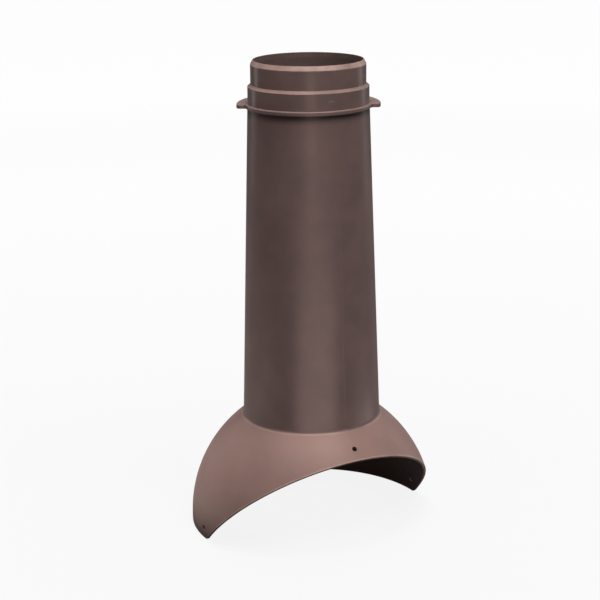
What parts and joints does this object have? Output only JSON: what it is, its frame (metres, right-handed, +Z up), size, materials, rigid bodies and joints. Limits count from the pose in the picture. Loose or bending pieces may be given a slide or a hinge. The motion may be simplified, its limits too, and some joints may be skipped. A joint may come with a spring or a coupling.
{
  "type": "roof vent pipe",
  "caption": "Tall tapered vent pipe moulded in one piece, with a stepped cap spigot and collar at the top and a domed foot cut off at a slope to sit over a roof seat.",
  "frame": {"origin": "on the tube's axis, level with the flat back rim of the foot, which is the middle of the roof seat that the dome sits over", "axes": "+Z up along the tube to its mouth, -Y to the front, where the foot is cut off at a slope, +X along the line of the two corner screw holes"},
  "size_m": [0.2638, 0.2319, 0.5],
  "materials": {
    "brown_plastic": "semi-matt moulded polypropylene, coloured right through"
  },
  "bodies": {
    "root": {"vent_pipe": "brown_plastic"}
  },
  "joints": []
}
